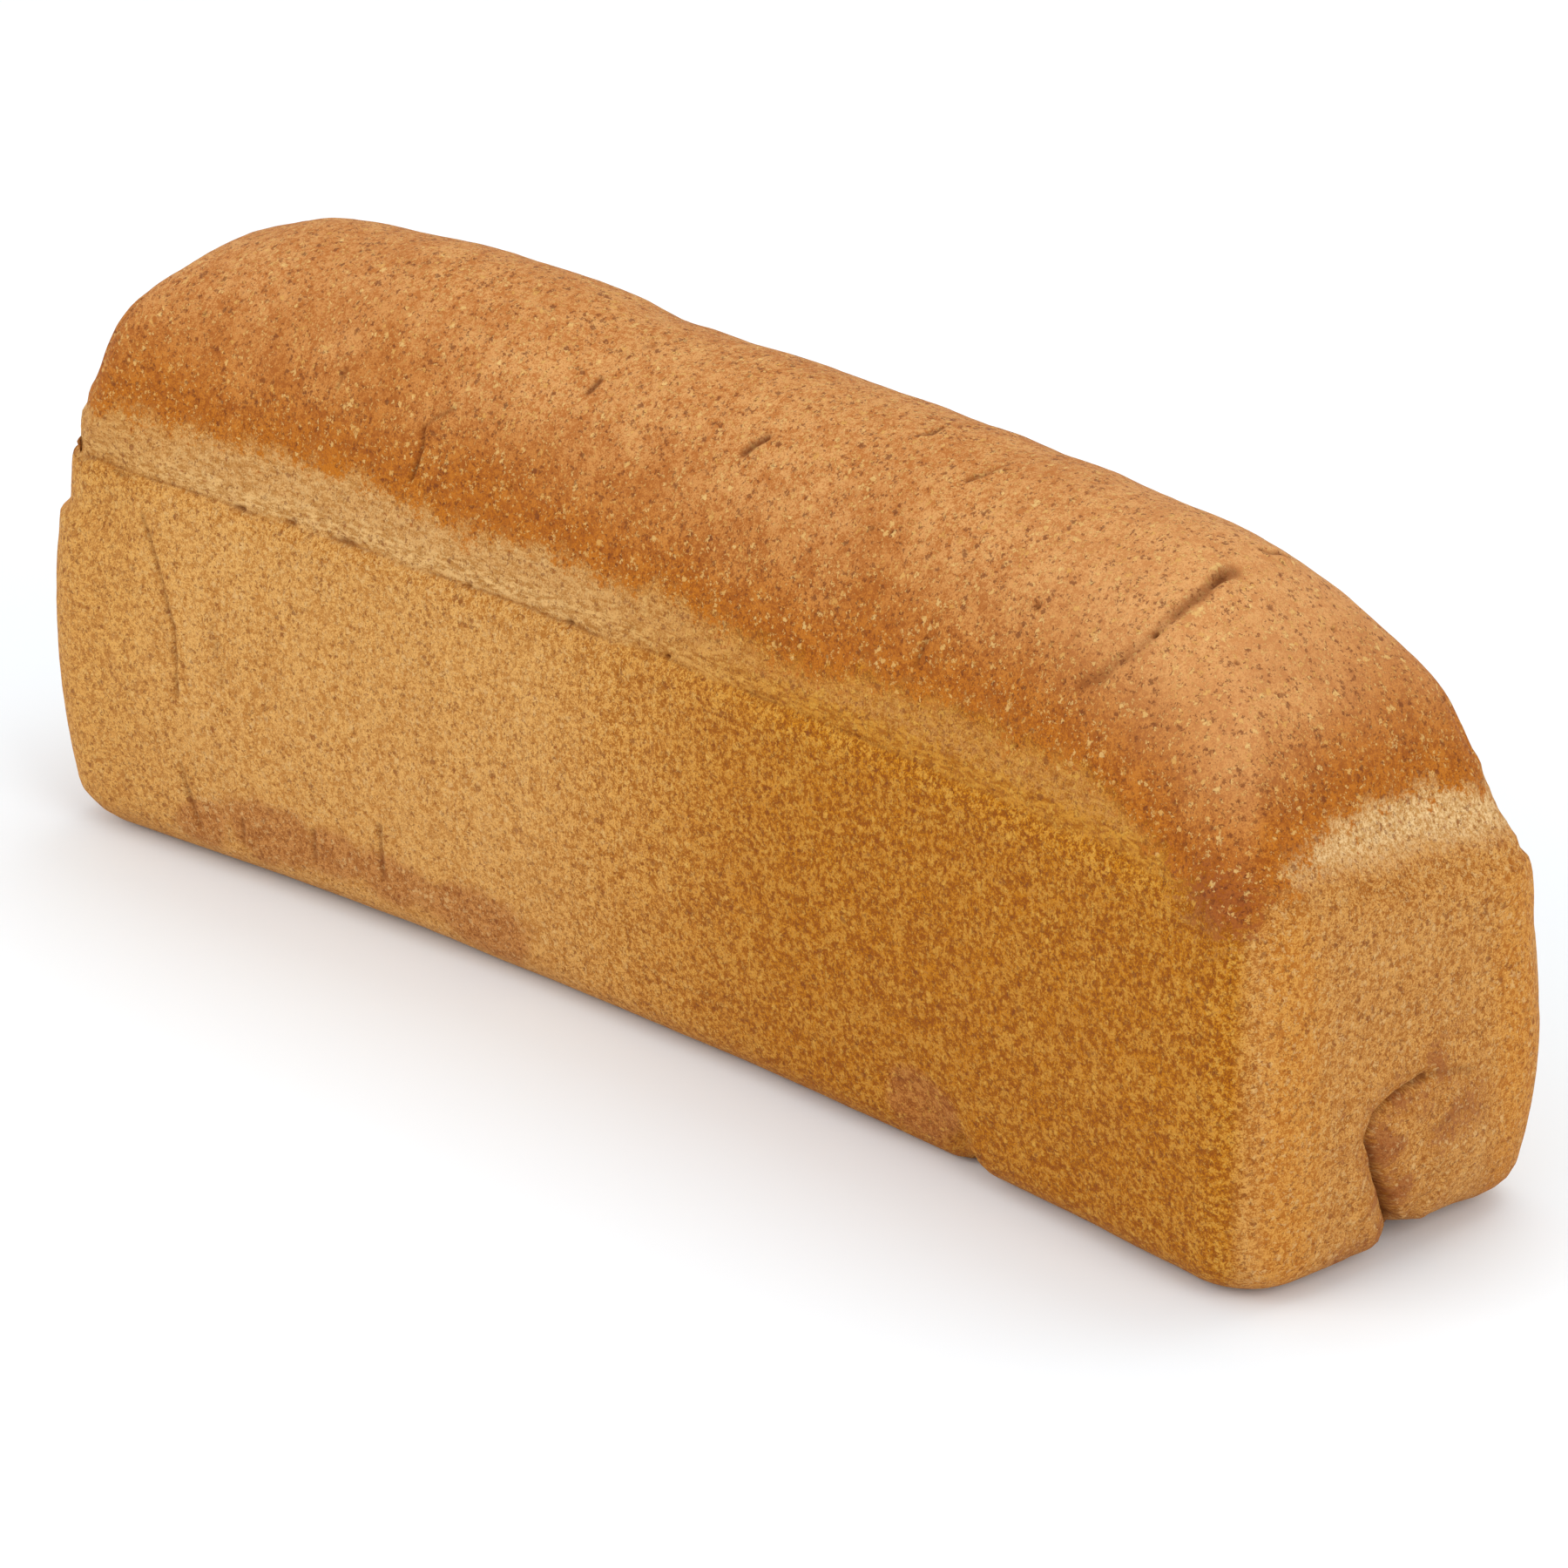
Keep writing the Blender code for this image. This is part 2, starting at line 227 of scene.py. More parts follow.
# ------------------------------------------------------------ base mesh
def build_lattice():
    us = np.concatenate([-1 + (1 - STRAIGHT) * np.arange(N_ROLL) / N_ROLL,
                         -STRAIGHT + 2 * STRAIGHT * np.arange(N_STRAIGHT) / N_STRAIGHT,
                         STRAIGHT + (1 - STRAIGHT) * np.arange(N_ROLL + 1) / N_ROLL])
    vs = -1 + 2 * np.arange(N_ACROSS + 1) / N_ACROSS
    foot = BASE_R / RIM
    ws = np.concatenate([foot * (1 - np.cos(math.pi / 2 * np.arange(N_FOOT) / N_FOOT)), foot + (1 - foot) * np.arange(N_WALL + 1) / N_WALL])
    nu, nv, nw = len(us), len(vs), len(ws)
    ids = np.full((nu, nv, nw), -1, dtype=np.int64)
    shell = np.zeros((nu, nv, nw), bool)
    shell[0, :, :] = shell[-1, :, :] = shell[:, 0, :] = shell[:, -1, :] = True
    shell[:, :, -1] = True
    iu, iv, iw = np.nonzero(shell)
    ids[iu, iv, iw] = np.arange(len(iu))
    u, v, w = us[iu], vs[iv], ws[iw]
    q = np.where((iw == nw - 1)[:, None], crown_points(u, v), wall_points(u, v, w))
    faces = []

    def patch(grid, flip):
        a, b, c, d = grid[:-1, :-1], grid[1:, :-1], grid[1:, 1:], grid[:-1, 1:]
        quads = np.stack([a, d, c, b] if flip else [a, b, c, d], -1).reshape(-1, 4)
        faces.extend(quads.tolist())
    patch(ids[:, :, -1], False)
    patch(ids[:, 0, :], False)
    patch(ids[:, -1, :], True)
    patch(ids[0, :, :], True)
    patch(ids[-1, :, :], False)
    ring = np.array(list(ids[:, 0, 0]) + list(ids[-1, 1:, 0]) + list(ids[:-1, -1, 0][::-1]) + list(ids[0, 1:-1, 0][::-1]))
    foot_ring = q[ring]
    a, b = np.abs(foot_ring[:, 0]).max(), np.abs(foot_ring[:, 1]).max()
    for inset in (.005, .010, .016, .023):
        inner = np.arange(len(q), len(q) + len(ring))
        q = np.concatenate([q, foot_ring * np.array([1 - inset / a, 1 - inset / b, 1])])
        faces.extend(np.stack([ring, inner, np.roll(inner, -1), np.roll(ring, -1)], -1).tolist())
        ring = inner
    faces.append([int(i) for i in ring[::-1]])
    return q, faces


def refine(bm, q_test, cuts):
    """Splits the faces whose centre passes q_test."""
    faces = [f for f in bm.faces if len(f.verts) == 4]
    centres = np.array([f.calc_center_median() for f in faces])
    keep = q_test(centres)
    edges = {e for f, k in zip(faces, keep) if k for e in f.edges}
    bmesh.ops.subdivide_edges(bm, edges=list(edges), cuts=cuts, use_grid_fill=True)


def near_marks(c):
    near = np.zeros(len(c), bool)
    for path, half, _, painted_shade in CREASES:
        if painted_shade >= .45:
            near |= gap_to_path(c, path) < half * 1.5 + .0009
    for place, radius, _, _ in PITS:
        near |= np.linalg.norm(c - np.array(place), axis=1) < radius + .0010
    rim = rim_height(np.clip(c[:, 0] / HALF_L, -1, 1), np.clip(c[:, 1] / HALF_W, -1, 1))
    near |= (np.abs(c[:, 2] - rim) < .0014) & (np.abs(c[:, 1]) > .030) & (c[:, 1] < 0) & (c[:, 0] < .16)
    yz = c[:, 1:]
    seam = gap_to_path(np.column_stack([np.zeros(len(c)), yz]), [(0, y, z) for y, z in SEAM])
    near |= (c[:, 0] > HALF_L - .012) & (seam < .0036)
    return near


def mesh_arrays(bm):
    bm.verts.ensure_lookup_table()
    q = np.array([v.co for v in bm.verts])
    bm.normal_update()
    n = np.array([v.normal for v in bm.verts])
    return q, n


def brown_edge(q):
    """Height above the rim at which the brown crust starts, for every point."""
    front = np.interp(q[:, 0], *zip(*EDGE_FRONT))
    near = np.interp(q[:, 1], *zip(*EDGE_NEAR))
    back = .0140 + .0020 * np.sin(q[:, 0] * 31 + 1) + .0015 * np.sin(q[:, 0] * 77)
    far = .0145 + .0020 * np.sin(q[:, 1] * 60)
    side = np.where(q[:, 1] < 0, front, back)
    end = np.where(q[:, 0] > 0, near, far)
    # nearer to an end wall or to a long wall?
    to_end = HALF_L - .006 - np.abs(q[:, 0])
    to_side = HALF_W - .004 - np.abs(q[:, 1])
    k = smooth((to_side - to_end) / .010 + .5)
    return side * (1 - k) + end * k, k


def relief(q, n):
    """Height of the crust's relief along the normal, and the marks that colour it."""
    s = np.clip(q[:, 0] / HALF_L, -1, 1)
    t = np.clip(q[:, 1] / HALF_W, -1, 1)
    above = q[:, 2] - rim_height(s, t)
    edge, endish = brown_edge(q)
    wob = .0012 * field(q, .020, 3) + .0006 * field(q, .007, 4)
    crown = smooth((above - edge + .002) / .006)
    rise = above - edge + 2.0 * wob
    start = endish * np.where(q[:, 0] > 0, .0034, .002)
    shred = smooth((above - start + .0012 + 1.3 * wob) / (.0026 + .004 * endish)) * (1 - smooth((rise + .0035) / .007))
    grounded = smooth(q[:, 2] / .006)

    big = field(q, .050, 1)
    mid = field(q, .018, 2)
    fine = field(q, .0062, 5)
    tiny = field(q, .0034, 6)
    h = (.0006 + .0001 * crown) * big + (.00022 + .00018 * crown) * mid + (.00010 + .00006 * crown) * fine + .00009 * tiny
    h -= .0019 * np.exp(-((q[:, 0] + .0390) / .012) ** 2) * smooth((above - .035) / .02)

    # the pale band above the rim: torn strands running down and along
    strands = field(q @ np.array([[.86, 0, .50], [0, 1, 0], [-.50, 0, .86]]), .0030, 7, (1, .6, .22))
    strand_end = field(q, .0030, 8, (.6, 1, .20))
    strands = strands * (1 - endish) + strand_end * endish
    h += shred * (.00026 * strands + .00026 * tiny - .0002)
    # a low lip where the brown crust starts
    h += .00050 * bump((rise - .0016) / .0035) * (.6 + .9 * mid + .5 * fine)

    # rim line
    line = above + .75 * wob
    broken = smooth((field(q, .011, 9) + .22) / .42)
    keep = np.where(q[:, 1] < 0, 1 - smooth((q[:, 0] - .02) / .15) * .75, .55)
    keep = keep * (1 - endish * np.where(q[:, 0] > 0, .85, .3)) * smooth((q[:, 0] + .2035) / .012)
    groove = np.exp(-(line / .0007) ** 2) * keep * (.45 + .55 * broken)
    h -= .00070 * groove
    h -= .0004 * np.exp(-(line / .0028) ** 2) * keep
    # the wall's top edge stands a little proud just under it
    h += .0005 * np.exp(-((above + .0040) / .0030) ** 2) * (1 - .5 * endish)
    slot = np.zeros(len(q))
    for x, half in SLOTS:
        slot = np.maximum(slot, np.where(q[:, 1] < 0, 1, 0) * bump((q[:, 0] - x) / half) * np.exp(-((line - .0002) / .0007) ** 2))
    slot = slot * smooth((q[:, 0] + .2035) / .012)
    h -= .0013 * slot

    # painted shade in the rim line's groove and slots; creases, pits and the fold add theirs below
    painted_shade = .12 * groove * (.2 + .8 * broken) + .6 * slot
    for path, half, deep, shade in CREASES:
        d = gap_to_path(q, path)
        d = d + half * (.45 * fine + .45 * tiny)
        g = np.exp(-(d / half) ** 2) * (.75 + .5 * mid)
        h -= deep * g
        h += .22 * deep * np.exp(-((d - 2.2 * half) / (1.1 * half)) ** 2)
        painted_shade = np.maximum(painted_shade, shade * np.exp(-(d / (half * 1.0)) ** 2))
    for place, radius, deep, shade in PITS:
        d = np.linalg.norm(q - np.array(place), axis=1) / radius * (1 + .25 * tiny)
        h -= deep * (1 - smooth(d))
        painted_shade = np.maximum(painted_shade, shade * (1 - smooth(d * 1.05)))

    # folded seam and its two lobes, on the +X end wall
    at_end = smooth((q[:, 0] - (HALF_L - .020)) / .010)
    flat = np.column_stack([np.zeros(len(q)), q[:, 1:]])
    seam = [(0, y, z) for y, z in SEAM]
    d = gap_to_path(flat, seam)
    up = np.clip(q[:, 2] / .043, 0, 1)
    half = .0011 * (1 - .40 * up)
    g = np.exp(-(d / half) ** 2) * at_end
    seam_y = np.interp(q[:, 2], [z for y, z in SEAM], [y for y, z in SEAM])
    right = smooth((q[:, 1] - seam_y) / .003)
    wide = np.exp(-(d / (.0042 - .0016 * up)) ** 2) * at_end * (1 - .55 * right)
    h -= g * (.0030 * (1 - up) + .0018) + wide * (.0014 * (1 - up) + .0007)
    h += at_end * .0012 * np.exp(-((d - .0062) / .0040) ** 2) * (1 - .5 * up)
    crumbly = at_end * np.exp(-((d - .006) / .010) ** 2) * (1 - smooth((q[:, 2] - .040) / .02))
    h += crumbly * (.00040 * mid + .00042 * fine + .00028 * tiny)
    lobe = np.exp(-(((q[:, 1] - .012) / .016) ** 2 + ((q[:, 2] - .022) / .018) ** 2)) * right
    h += at_end * .0022 * lobe
    left = np.exp(-(((q[:, 1] + .018) / .014) ** 2 + ((q[:, 2] - .012) / .014) ** 2)) * (1 - right)
    h += at_end * .0012 * left
    # painted shade down the fold
    painted_shade = np.maximum(painted_shade, at_end * (1.0 - .25 * up) * np.exp(-(d / (half * .80)) ** 2))
    # shallow hollow above the fold
    h -= at_end * .0008 * np.exp(-(((q[:, 1] - .004) / .016) ** 2 + ((q[:, 2] - .052) / .007) ** 2))

    # dents in the foot of the long wall
    dent = np.exp(-(((q[:, 0] - .098) / .010) ** 2 + ((q[:, 2] - .012) / .010) ** 2)) * (q[:, 1] < 0)
    h -= .0026 * dent
    notch = np.exp(-(((q[:, 0] - .1070) / .0042) ** 2 + ((q[:, 2] - .004) / .007) ** 2)) * (q[:, 1] < 0)
    h -= .0034 * notch
    # the far end stands in a little above its rim and near its foot; the near end wall is a little fuller at the rim
    far = endish * (q[:, 0] < 0)
    far = smooth((-q[:, 0] - HALF_L + .036) / .018)
    h -= far * .0010 * smooth(-above / .02)
    # at the far front corner the wall ends lower, on a small lip, and the crust above it stands in
    h -= far * smooth((-q[:, 1] - .004) / .016) * .0025 * smooth((above + .0180) / .0030) * (1 - smooth((above - .002) / .006))
    near = endish * (q[:, 0] > 0)
    h += near * (.0014 * np.exp(-((above + .005) / .010) ** 2) * smooth((q[:, 1] - .012) / .02) - .0008 * np.exp(-((q[:, 2] - .058) / .016) ** 2))
    h -= smooth((q[:, 0] - HALF_L + .040) / .02) * .0010 * np.exp(-((above - .024) / .008) ** 2) * smooth((q[:, 1] + .005) / .02)
    # long soft folds running up the walls
    wall = smooth(-above / .010)
    h += wall * .00035 * field(q, .020, 11, (1, 1, .22))
    # a few torn tags on the crown's ridge and the far corner
    for place, radius, tall in (((.1487, .0095, .1487), .0022, .0010), ((-.2035, -.020, .058), .0030, .0012), ((.1930, .0300, .1035), .0030, .0014), ((-.2010, -.010, .090), .005, .0010)):
        h += tall * np.exp(-(np.linalg.norm(q - np.array(place), axis=1) / radius) ** 2)

    h = h * grounded
    # painted highlight: a lighter golden band down the rounded upright corners
    p_x = (np.abs(q[:, 0]) - (HALF_L - CORNER_R)) / CORNER_R
    p_y = (np.abs(q[:, 1]) - (HALF_W - CORNER_R)) / CORNER_R
    turn = np.arctan2(np.maximum(p_x, 0), np.maximum(p_y, 1e-3)) / (math.pi / 2)
    painted_corner_highlight = smooth((turn - .42) / .28) * smooth((np.abs(q[:, 1]) - (HALF_W - CORNER_R - .007)) / .010) * smooth(-above / .012 + .3)
    marks = dict(rise=rise, above=above, shred=shred, painted_corner_highlight=painted_corner_highlight, line=line, drawn=keep * (.06 + .94 * broken), painted_shade=np.clip(painted_shade, 0, 1), endish=endish * smooth((np.abs(q[:, 0]) - HALF_L + .03) / .01), wall=wall, big=big, mid=mid, fine=fine)
    return h, marks


def seam_lift(q):
    """The two lobes beside the folded seam roll under: their lower edge lifts off the table."""
    y = q[:, 1] - SEAM[0][0]
    right = .0047 * np.exp(-np.abs(y) / .0065) + .0021 * np.exp(-((y - .014) / .017) ** 2)
    left = .0026 * np.exp(-np.abs(y) / .0050)
    lift = left + (right - left) * smooth(y / .0012 + .5)
    lift = lift * (1 - smooth(q[:, 2] / .028)) * (1 - smooth((HALF_L - q[:, 0]) / .036))
    far_foot = .0009 * smooth((-q[:, 0] - .05) / .03) * (1 - smooth(q[:, 2] / .018)) * smooth((-q[:, 1] - .018) / .012)
    notch = .0027 * np.exp(-((q[:, 0] - .1085) / .0036) ** 2) * (1 - smooth(q[:, 2] / .016)) * smooth((-q[:, 1] - .018) / .012)
    return lift + far_foot + notch


def tones(q, m):
    """Slow changes of the crust's colour, as -1..1 tone (dark to light) and 0..1 gold; on the long front wall partly
    its own colour and partly painted light and shade.
    """
    x, y, z = q[:, 0], q[:, 1], q[:, 2]
    front = smooth((-y - .030) / .010) * (1 - m["endish"])
    wall = m["wall"]
    # the long front wall is paler at the far half and deeper, more golden, towards +X, then paler again by the near
    # corner: partly the crust's own tone, partly painted light and shade
    deep = smooth((x + .048) / .115)
    tone_and_shade = wall * front * (.30 - .95 * deep + .25 * smooth((x - .165) / .03))
    gold = front * np.maximum(deep, .32 * smooth((-x - .145) / .03)) * np.where(m["above"] < .016, 1, .35)
    tone_and_shade += wall * m["endish"] * np.where(x > 0, .10, .15)
    # browned patches low on the front wall
    def blob(cx, cz, rx, rz, ragged=.35):
        d = np.sqrt(((x - cx) / rx) ** 2 + ((z - cz) / rz) ** 2)
        return (1 - smooth((d + ragged * (m["mid"] + .5 * field(q, .006, 21)) - .55) / .6)) * (y < 0)
    patch = np.maximum.reduce([blob(-.122, .017, .018, .011), blob(-.147, .013, .011, .010), blob(-.100, .017, .014, .008), blob(-.080, .016, .018, .010), blob(-.052, .014, .02, .010), blob(.097, .014, .013, .012)])
    patch = patch * smooth(z / .004)
    foot = 1 - smooth((z - .002) / .008)
    # reddish-brown: beside the fold, along its hook, and where the crown comes down at the near corner
    d = gap_to_path(np.column_stack([np.zeros(len(q)), y, z]), [(0, a, b) for a, b in SEAM])
    seam_y = np.interp(z, [b for a, b in SEAM], [a for a, b in SEAM])
    side = np.where(y > seam_y, 1.0, .7)
    stain = m["endish"] * (x > 0) * (np.exp(-((d - .0030) / .0036) ** 2) * .45 + np.exp(-((d - .004) / .013) ** 2) * .60 * smooth((m["fine"] - .05) / .5)) * side
    def spot(cx, cy, cz, r):
        return np.exp(-(np.linalg.norm(q - np.array((cx, cy, cz)), axis=1) / r) ** 2)
    stain += .42 * spot(.1850, -.0445, .0925, .0090) + .36 * spot(.1905, -.0410, .0940, .0080) + .3 * spot(.1790, -.0440, .0990, .0090)
    stain += .60 * spot(.2020, .0180, .0350, .0070) + .55 * spot(.2020, .0080, .0300, .0050) + .5 * spot(.2000, .0330, .0080, .0090) + .55 * spot(.2000, -.0160, .0060, .0070) + .4 * spot(.2020, -.0060, .0060, .0060)
    m["stain"] = np.clip(stain * (1 + .5 * m["mid"]), 0, 1)
    return tone_and_shade, gold, patch, foot


def build_loaf():
    q, faces = build_lattice()
    mesh = bpy.data.meshes.new("loaf_crust")
    mesh.from_pydata(q.tolist(), [], faces)
    bm = bmesh.new()
    bm.from_mesh(mesh)
    refine(bm, near_marks, 2)
    q, n = mesh_arrays(bm)
    h, m = relief(q, n)
    tone_and_shade, gold, patch, foot = tones(q, m)
    p = q + n * h[:, None]
    p[:, 2] += seam_lift(q)
    p = bow(p)
    p[:, 2] = np.maximum(p[:, 2], 0.0)
    flat = bow(q)
    base = np.array([(flat[:, 0].min() + flat[:, 0].max()) / 2, (flat[:, 1].min() + flat[:, 1].max()) / 2])
    target = np.array([(LOAF_LO[0] + LOAF_HI[0]) / 2, (LOAF_LO[1] + LOAF_HI[1]) / 2])
    shift = np.array([target[0] - base[0], target[1] - base[1], LOAF_LO[2]])
    p = p + shift
    for v, co in zip(bm.verts, p.tolist()):
        v.co = co
    bm.normal_update()
    for f in bm.faces:
        f.smooth = len(f.verts) <= 4
    bm.to_mesh(mesh)
    bm.free()
    ob = bpy.data.objects.new("loaf_crust", mesh)
    bpy.context.scene.collection.objects.link(ob)

    def attribute(name, values):
        a = mesh.attributes.new(name, 'FLOAT', 'POINT')
        a.data.foreach_set("value", np.asarray(values, dtype=np.float32))
    attribute("rise", m["rise"] * 100)          # cm above the brown crust's edge
    attribute("above", m["above"] * 100)        # cm above the rim line
    attribute("shred", m["shred"])
    attribute("painted_shade", m["painted_shade"])
    attribute("tone_and_shade", tone_and_shade)
    attribute("gold", gold)
    attribute("patch", patch)
    attribute("foot", foot)
    attribute("endwall", m["endish"])
    attribute("painted_corner_highlight", m["painted_corner_highlight"])
    attribute("line", m["line"] * 100)          # cm from the rim line
    attribute("drawn", m["drawn"])
    attribute("stain", m["stain"])
    # painted sheen on the upper crown towards +X
    attribute("painted_sheen", smooth((q[:, 0] - .075) / .08) * smooth((m["rise"] - .006) / .030))
    pos = mesh.attributes.new("place", 'FLOAT_VECTOR', 'POINT')
    pos.data.foreach_set("vector", np.asarray(q, dtype=np.float32).ravel())
    return ob, shift, q, n, m


# ------------------------------------------------------------ crust material
class Nodes:
    """Short ways of writing a node tree."""

    def __init__(self, mat):
        self.t = mat.node_tree
        self.x = 0

    def new(self, kind, **props):
        n = self.t.nodes.new(kind)
        self.x += 1
        n.location = (self.x * 40 % 2400, -(self.x * 40 // 2400) * 260)
        for k, v in props.items():
            setattr(n, k, v)
        return n

    def put(self, socket, value):
        if isinstance(value, bpy.types.NodeSocket):
            self.t.links.new(value, socket)
        elif value is not None:
            socket.default_value = value

    def attr(self, name, vector=False):
        n = self.new("ShaderNodeAttribute", attribute_name=name)
        return n.outputs["Vector" if vector else "Fac"]

    def math(self, op, a, b=None, c=None, clamp=False):
        n = self.new("ShaderNodeMath", operation=op, use_clamp=clamp)
        for i, v in enumerate((a, b, c)):
            if v is not None:
                self.put(n.inputs[i], v)
        return n.outputs[0]

    def mapr(self, v, lo, hi, a=0.0, b=1.0, kind='SMOOTHSTEP'):
        n = self.new("ShaderNodeMapRange", interpolation_type=kind, clamp=True)
        for i, w in enumerate((v, lo, hi, a, b)):
            self.put(n.inputs[i], w)
        return n.outputs[0]

    def mix(self, f, a, b, blend='MIX'):
        n = self.new("ShaderNodeMix", data_type='RGBA', blend_type=blend)
        self.put(n.inputs[0], f)
        self.put(n.inputs[6], a)
        self.put(n.inputs[7], b)
        return n.outputs[2]

    def scaled(self, vec, k, offset=(0, 0, 0), turn=(0, 0, 0)):
        n = self.new("ShaderNodeMapping")
        self.put(n.inputs["Vector"], vec)
        n.inputs["Scale"].default_value = k
        n.inputs["Location"].default_value = offset
        n.inputs["Rotation"].default_value = turn
        return n.outputs[0]

    def noise(self, vec, scale, detail=2.0, rough=0.5, distort=0.0, color=False):
        n = self.new("ShaderNodeTexNoise")
        self.put(n.inputs["Vector"], vec)
        n.inputs["Scale"].default_value = scale
        n.inputs["Detail"].default_value = detail
        n.inputs["Roughness"].default_value = rough
        n.inputs["Distortion"].default_value = distort
        return n.outputs["Color" if color else 0]


GAIN = .93


def lin(r, g, b):
    """A crust colour as seen under the studio light, turned into the surface's own linear colour."""
    return tuple(GAIN * ((c / 255) / 12.92 if c / 255 <= .04045 else ((c / 255 + .055) / 1.055) ** 2.4) for c in (r, g, b)) + (1.0,)


def crust_material():
    mat = bpy.data.materials.new("wholemeal_crust")
    mat.use_nodes = True
    bsdf = mat.node_tree.nodes["Principled BSDF"]
    N = Nodes(mat)
    place = N.attr("place", True)
    rise, above, shred, painted_shade = N.attr("rise"), N.attr("above"), N.attr("shred"), N.attr("painted_shade")
    tone_and_shade, gold, patch, foot = N.attr("tone_and_shade"), N.attr("gold"), N.attr("patch"), N.attr("foot")
    endwall, painted_corner_highlight, stain = N.attr("endwall"), N.attr("painted_corner_highlight"), N.attr("stain")

    # noise at the crust's own scales (place is in metres)
    cloud = N.noise(place, 38, 2, .55)
    blotch = N.noise(place, 150, 2, .6)
    crumb = N.noise(place, 640, 3, .72)
    grain = N.noise(place, 2300, 2, .75)
    fibres = N.noise(N.scaled(place, (.30, 1, 1), turn=(0, -.6, 0)), 900, 2, .7)
    mottle = N.math('ADD', N.math('MULTIPLY', crumb, .55), N.math('MULTIPLY', grain, .45))

    # bran and crumbs: two sizes of irregular cell, some pale, some dark
    jig = N.new("ShaderNodeVectorMath", operation='MULTIPLY_ADD')
    N.put(jig.inputs[0], N.noise(place, 1100, 2, .7, color=True))
    jig.inputs[1].default_value = (.0024,) * 3
    N.put(jig.inputs[2], place)
    wavy = jig.outputs[0]

    def cells(scale, size):
        v = N.new("ShaderNodeTexVoronoi", feature='F1')
        N.put(v.inputs["Vector"], wavy)
        v.inputs["Scale"].default_value = scale
        sep = N.new("ShaderNodeSeparateColor")
        N.put(sep.inputs[0], v.outputs["Color"])
        radius = N.math('MULTIPLY_ADD', sep.outputs[1], size * .7, size * .4)
        inside = N.mapr(N.math('DIVIDE', v.outputs["Distance"], radius), .7, 1.2, 1.0, 0.0)
        return inside, sep.outputs[0], sep.outputs[2]
    big_in, big_r, big_c = cells(540, .40)
    small_in, small_r, small_c = cells(1080, .50)
    pale_big = N.math('MULTIPLY', big_in, N.math('LESS_THAN', big_r, .26))
    dark_big = N.math('MULTIPLY', big_in, N.math('GREATER_THAN', big_r, .86))
    pale_small = N.math('MULTIPLY', small_in, N.math('LESS_THAN', small_r, .32))
    dark_small = N.math('MULTIPLY', small_in, N.math('GREATER_THAN', small_r, .74))

    # how brown: ragged edge of the crown's crust
    ragged = N.math('ADD', N.math('MULTIPLY_ADD', blotch, 1.8, -.9), N.math('MULTIPLY_ADD', crumb, 2.6, -1.3))
    brown = N.mapr(N.math('ADD', rise, ragged), -.26, .30)
    bare = N.math('SUBTRACT', 1.0, brown)

    # walls: tan on the far half, deep gold towards +X; the deep gold is partly the crust's own colour and partly
    # painted shade
    fine = N.mapr(mottle, .42, .585)
    wall = N.mix(fine, lin(177, 109, 32), lin(228, 172, 95))
    gold_wall = N.mix(fine, lin(148, 78, 0), lin(210, 136, 18))
    lumps = N.mapr(N.math('ADD', N.math('MULTIPLY', blotch, .35), N.math('MULTIPLY', crumb, .65)), .46, .60, 0.0, .62)
    gold_wall = N.mix(lumps, gold_wall, N.mix(fine, lin(184, 112, 6), lin(230, 174, 76)))
    wall = N.mix(gold, wall, gold_wall)
    wall = N.mix(N.math('MULTIPLY', endwall, .8), wall, N.mix(fine, lin(166, 96, 26), lin(218, 157, 80)))

    # torn band above the rim
    strand = N.mapr(N.math('ADD', N.math('MULTIPLY', fibres, .6), N.math('MULTIPLY', grain, .4)), .41, .59)
    band = N.mix(strand, lin(182, 126, 60), lin(230, 182, 116))
    band = N.mix(N.math('MULTIPLY', endwall, .75), band, N.mix(strand, lin(204, 152, 86), lin(248, 212, 156)))
    # the band deepens to gold with the walls: partly the crust's own colour, partly painted shade
    band = N.mix(N.math('MULTIPLY', gold, .95), band, N.mix(strand, lin(166, 96, 8), lin(206, 140, 40)))
    crumbs = N.math('MULTIPLY', N.mapr(crumb, .50, .56), N.math('MULTIPLY_ADD', endwall, .12, .18))
    band = N.mix(crumbs, band, lin(176, 114, 48))
    brow = N.math('MULTIPLY', N.mapr(N.math('ADD', above, N.math('MULTIPLY_ADD', mottle, 1.0, -.5)), .35, .75), N.math('MULTIPLY_ADD', endwall, -.8, .9))
    band = N.mix(N.math('MULTIPLY', brow, .45), band, N.mix(fine, lin(174, 108, 40), lin(216, 160, 92)))
    col = N.mix(shred, wall, band)

    # upright streaks that the tin left on the walls
    streak = N.noise(N.scaled(place, (1, 1, .10)), 230, 2, .6)
    streak_on = N.math('MULTIPLY', N.math('MULTIPLY', N.math('SUBTRACT', 1.0, shred), N.math('SUBTRACT', 1.0, gold)), .11)
    col = N.mix(N.math('MULTIPLY', N.mapr(streak, .48, .40), streak_on), col, lin(170, 100, 30))
    col = N.mix(N.math('MULTIPLY', N.mapr(streak, .54, .64), streak_on), col, lin(232, 182, 112))

    # slow light and dark of the walls: partly the crust's own tone, partly painted light and shade on the long front
    # wall
    col = N.mix(N.mapr(tone_and_shade, 0.0, -1.0, 0.0, .42, 'LINEAR'), col, lin(156, 84, 14))
    col = N.mix(N.mapr(tone_and_shade, 0.0, 1.0, 0.0, .45, 'LINEAR'), col, lin(232, 182, 112))
    # painted highlight down the rounded upright corners
    col = N.mix(N.math('MULTIPLY', painted_corner_highlight, .55), col, N.mix(fine, lin(190, 110, 20), lin(224, 156, 62)))

